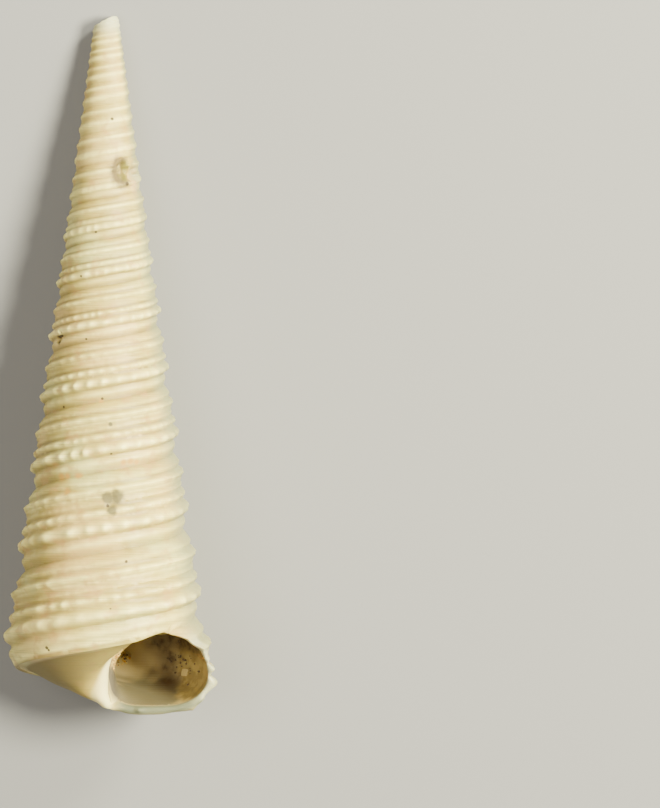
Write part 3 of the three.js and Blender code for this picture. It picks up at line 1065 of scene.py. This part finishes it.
# Sand in the mouth: grains in the upper left corner, specks and one pale chip on the right wall. Places are
# right of the axis and down. A grain's tone runs from dark over orange and yellow to pale.
sand = {
    "seed": 21,
    "clumps": [
        {"at": (0.95, 46.6), "spread": (0.34, 0.42), "grains": 44, "size": (0.035, 0.09), "dark": 0.14},
        {"at": (0.6, 47.1), "spread": (0.22, 0.2), "grains": 16, "size": (0.03, 0.07), "dark": 0.14},
        {"at": (4.1, 46.7), "spread": (0.4, 0.55), "grains": 8, "size": (0.035, 0.08), "dark": 1.0},
        {"at": (5.0, 46.9), "spread": (0.5, 0.6), "grains": 6, "size": (0.035, 0.07), "dark": 1.0},
        {"at": (4.7, 47.5), "spread": (0.6, 0.8), "grains": 3, "size": (0.03, 0.06), "dark": 1.0},
        {"at": (4.6, 45.75), "spread": (0.25, 0.1), "grains": 3, "size": (0.03, 0.06), "dark": 1.0},
    ],
    "castFrom": 20,
    "scatter": 0.6,
    "oblong": (0.7, 1.3),
    "lumpy": 0.22,
    "outOfWall": 0.4,
    "darkTones": (0, 0.3),
    "lightTones": (0.3, 1),
    "specks": [(4.59, 45.58, 0.1), (5.05, 46.82, 0.1), (4.72, 47.01, 0.09), (4.37, 47.66, 0.09),
               (5.96, 47.53, 0.1), (5.24, 48.38, 0.08), (5.35, 47.35, 0.05), (5.37, 47.5, 0.05),
               (5.34, 47.68, 0.05)],
    "speckFlatness": 0.6,
    "speckTone": 0.1,
    "spot": {"at": (6.27, 46.58), "size": (0.1, 0.11, 0.07), "tone": 0.4},
    "chip": {"at": (5.0, 47.62), "size": (0.3, 0.25, 0.06), "tone": 0.95, "squareness": 0.4},
}
sandFinish = {
    "orange": (0.74, 0.38, 0.05),
    "yellow": (0.82, 0.60, 0.16),
    "pale": (0.62, 0.47, 0.17),
    "dark": (0.05, 0.03, 0.012),
    "shade": (0.30, 0.20, 0.07),
    "fades": [("yellow", 0.4, 0.7), ("pale", 0.75, 0.95), ("dark", 0.36, 0.3)],  # by tone, over orange
    "shadeScale": 9000,
    "shadeShare": 0.5,
    "surface": {"Roughness": 0.6},
}
shellTree = BVHTree.FromObject(shell, bpy.context.evaluated_depsgraph_get())
random = np.random.default_rng(sand["seed"])
tilt = spiral["lieTilt"]
viewDirection = Vector((0, math.sin(tilt), math.cos(tilt)))
upDirection = Vector((0, math.cos(tilt), -math.sin(tilt)))
sideDirection = Vector((1, 0, 0))
apexPlace = Vector(spiral["apex"]) * mm


def placeInView(right, up, towards):  # mm to the right of the axis, up from the apex and towards the viewer
    return apexPlace + (sideDirection * right + upDirection * up + viewDirection * towards) * mm


def addGrain(right, down, size, tone, square=False):
    hit, outwards = shellTree.ray_cast(placeInView(right, -down, sand["castFrom"]), -viewDirection)[:2]
    bpy.ops.object.select_all(action="DESELECT")
    bpy.ops.mesh.primitive_ico_sphere_add(subdivisions=2, radius=1)
    grain = bpy.context.active_object
    corners = cornersOf(grain)
    if square:  # lies flat on the wall
        corners = np.sign(corners) * np.abs(corners) ** sand["chip"]["squareness"]
        aside = upDirection.cross(outwards).normalized()
        turned = np.array((aside, outwards.cross(aside), outwards))
    else:
        corners *= 1 + sand["lumpy"] * random.normal(size=(len(corners), 1)).clip(-1, 1)
        turned = np.linalg.qr(random.normal(size=(3, 3)))[0]
    middle = np.array(hit + viewDirection * min(size) * sand["outOfWall"] * mm)
    corners = (corners * np.array(size)) @ turned * mm + middle
    grain.data.vertices.foreach_set("co", corners.ravel())
    keepAttribute(grain, "tone", np.full(len(corners), tone))
    return grain


grains = []
for clump in sand["clumps"]:
    for _ in range(clump["grains"]):
        right, down = np.array(clump["at"]) + random.normal(size=2) * clump["spread"] * sand["scatter"]
        size = random.uniform(*clump["size"]) * random.uniform(*sand["oblong"], 3)
        tones = sand["darkTones"] if random.random() < clump["dark"] else sand["lightTones"]
        grains.append(addGrain(right, down, size, random.uniform(*tones)))
grains.append(addGrain(*sand["spot"]["at"], sand["spot"]["size"], sand["spot"]["tone"]))
for right, down, size in sand["specks"]:
    grains.append(addGrain(right, down, (size, size, size * sand["speckFlatness"]), sand["speckTone"]))
grains.append(addGrain(*sand["chip"]["at"], sand["chip"]["size"], sand["chip"]["tone"], square=True))
pick(*grains)
bpy.ops.object.join()
grains = bpy.context.active_object
grains.name = "sandGrains"
bpy.ops.object.shade_flat()
shader = newMaterial(grains, "sandGrains", sandFinish["surface"])
grainPlace = addNode("TexCoord").outputs["Object"]
grainTone = attribute("tone")
light = sandFinish["orange"]
for name, start, full in sandFinish["fades"]:
    light = mixColours(ramp(grainTone, start, full), light, sandFinish[name])
shade = times(noise(grainPlace, sandFinish["shadeScale"]), sandFinish["shadeShare"])
light = mixColours(shade, light, sandFinish["shade"])
nodeTree.links.new(light, shader.inputs["Base Color"])
print("sand laid:", len(grains.data.polygons), "faces")

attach(grains, "root")
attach(shell, "root")
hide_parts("shell")

# Floor, lights and camera
view = {
    "pixelsPerMm": 15.4,
    "frame": (660, 808),
    "axisAt": 106.75,  # the shell's axis in the picture
    "apexAt": -59.0,  # and its virtual apex, above the picture
    "distance": 480,
    "floorSize": 3,  # in metres
}
floorFinish = {"Base Color": (0.22, 0.22, 0.215, 1), "Roughness": 0.9}
middleX = (view["frame"][0] / 2 - view["axisAt"]) / view["pixelsPerMm"]
middleY = -(view["frame"][1] / 2 - view["apexAt"]) / view["pixelsPerMm"]
aim = placeInView(middleX, middleY, 0)
cameraData = bpy.data.cameras.new("camera")
camera = bpy.data.objects.new("camera", cameraData)
bpy.context.scene.collection.objects.link(camera)
bpy.context.scene.camera = camera
camera.location = aim + viewDirection * view["distance"] * mm
camera.rotation_euler = Matrix((sideDirection, upDirection, viewDirection)).transposed().to_euler()
cameraData.lens = cameraData.sensor_width * view["distance"] / (view["frame"][1] / view["pixelsPerMm"])

bpy.ops.mesh.primitive_plane_add(size=view["floorSize"])
floor = bpy.context.active_object
floor.name = "floor"
newMaterial(floor, "floor", floorFinish)

lights = {  # "from" is to the right, up and towards the viewer; sizes in mm, power in watts
    "key": {"from": (0.66, 0.08, 0.75), "away": 320, "size": 110, "power": 5.0,
            "colour": (1.0, 0.955, 0.74)},
    "high": {"from": (0.64, 0.58, 0.50), "away": 340, "size": 110, "power": 2.6,
             "colour": (1.0, 0.965, 0.77)},
    "fill": {"from": (-0.40, 0.0, 0.92), "away": 420, "size": 300, "power": 1.7,
             "colour": (1.0, 0.94, 0.82)},
}
sky = {"colour": (1, 0.99, 0.97, 1), "strength": 0.16}
target = placeInView(0, -27, 0)
for name, light in lights.items():
    data = bpy.data.lights.new(name, "AREA")
    data.shape = "DISK"
    data.size = light["size"] * mm
    data.energy = light["power"]
    data.color = light["colour"]
    lamp = bpy.data.objects.new(name, data)
    bpy.context.scene.collection.objects.link(lamp)
    right, up, towards = light["from"]
    direction = (sideDirection * right + upDirection * up + viewDirection * towards).normalized()
    lamp.location = target + direction * light["away"] * mm
    lamp.rotation_euler = direction.to_track_quat("Z", "Y").to_euler()
world = bpy.data.worlds.new("studio")
world.use_nodes = True
world.node_tree.nodes["Background"].inputs["Color"].default_value = sky["colour"]
world.node_tree.nodes["Background"].inputs["Strength"].default_value = sky["strength"]
bpy.context.scene.world = world

print("scene ready")
